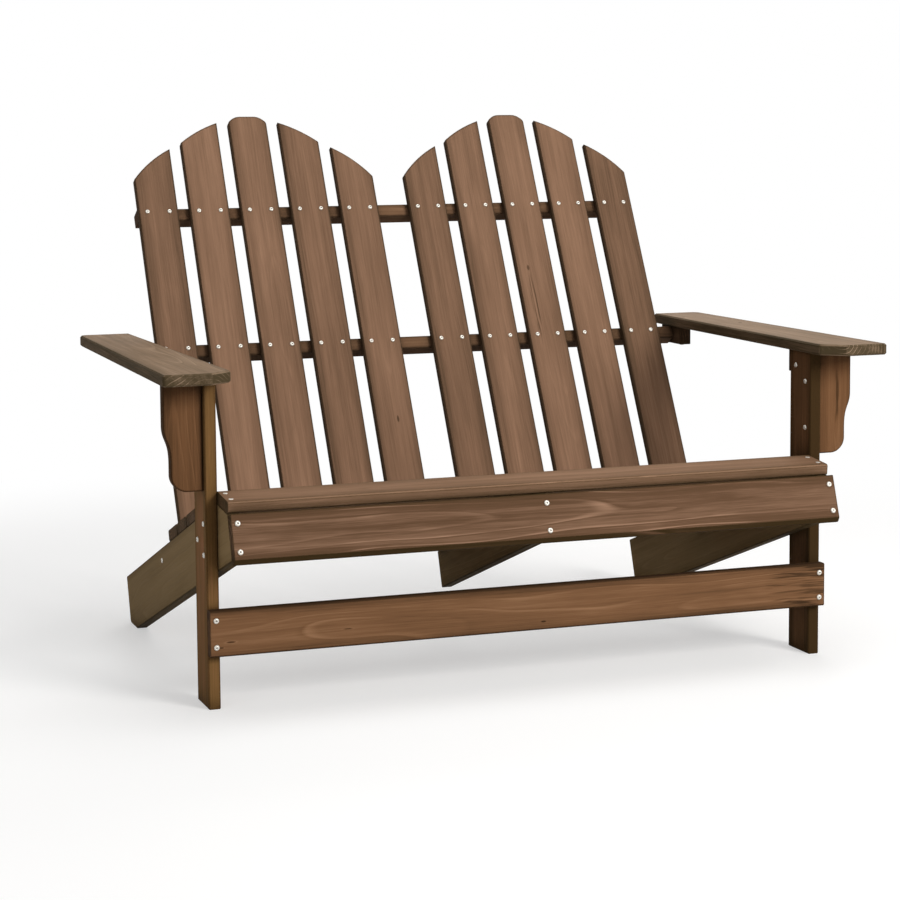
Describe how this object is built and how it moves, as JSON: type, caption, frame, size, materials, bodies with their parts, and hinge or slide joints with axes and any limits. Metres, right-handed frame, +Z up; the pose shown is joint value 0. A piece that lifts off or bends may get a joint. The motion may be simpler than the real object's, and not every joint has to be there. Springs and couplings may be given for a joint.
{
  "type": "adirondack loveseat",
  "caption": "Low garden loveseat of screwed softwood boards, with a sloping slatted seat, a reclined back of slats fanned into arched tops, and broad flat arms on brackets.",
  "frame": {"origin": "on the floor, under the middle of the bench's whole width and depth", "axes": "X across the bench from its left side to its right as seen from the front, Y from front to back, Z up"},
  "size_m": [1.1948, 0.8556, 0.8947],
  "materials": {
    "frame_wood": "olive-brown stained softwood with straight grain, matt",
    "leg_wood": "reddish-brown stained softwood with straight grain, matt",
    "arm_wood": "grey-brown stained softwood with cathedral grain, matt",
    "corbel_wood": "reddish-brown stained softwood with straight grain, matt",
    "block_wood": "dark brown stained softwood, matt",
    "apron_wood": "warm brown stained softwood with straight grain, matt",
    "seat_wood": "warm brown stained softwood with straight grain, matt",
    "back_wood": "warm brown stained softwood with mixed grain, matt",
    "rail_wood": "dark brown stained softwood, matt",
    "zinc_screws": "bright zinc plating, smooth"
  },
  "bodies": {
    "root": {"side_stringer_left": "frame_wood", "front_leg_left": "leg_wood", "arm_left": "arm_wood", "corbel_left": "corbel_wood", "front_arm_cleat_left": "block_wood", "rear_arm_block_left": "block_wood", "side_stringer_right": "frame_wood", "front_leg_right": "leg_wood", "arm_right": "arm_wood", "corbel_right": "corbel_wood", "front_arm_cleat_right": "block_wood", "rear_arm_block_right": "block_wood", "centre_stringer": "frame_wood", "front_apron": "apron_wood", "front_stretcher": "apron_wood", "front_seat_slat": "seat_wood", "seat_slat_1": "seat_wood", "seat_slat_2": "seat_wood", "seat_slat_3": "seat_wood", "seat_slat_4": "seat_wood", "seat_slat_5": "seat_wood", "back_slat_1": "back_wood", "back_slat_2": "back_wood", "back_slat_3": "back_wood", "back_slat_4": "back_wood", "back_slat_5": "back_wood", "back_slat_6": "back_wood", "back_slat_7": "back_wood", "back_slat_8": "back_wood", "back_slat_9": "back_wood", "back_slat_10": "back_wood", "upper_back_rail": "rail_wood", "middle_back_rail": "rail_wood", "lower_back_rail": "rail_wood", "upper_rail_screws": "zinc_screws", "middle_rail_screws": "zinc_screws", "lower_rail_screws": "zinc_screws", "apron_screws": "zinc_screws", "stretcher_screws": "zinc_screws", "front_slat_screws": "zinc_screws", "seat_slat_screws": "zinc_screws", "leg_screws": "zinc_screws", "rail_end_screws": "zinc_screws", "shelf_screw": "zinc_screws", "corbel_screws": "zinc_screws", "cleat_screws": "zinc_screws", "front_arm_screws": "zinc_screws", "rear_arm_screws": "zinc_screws", "rear_block_screws": "zinc_screws"}
  },
  "joints": []
}
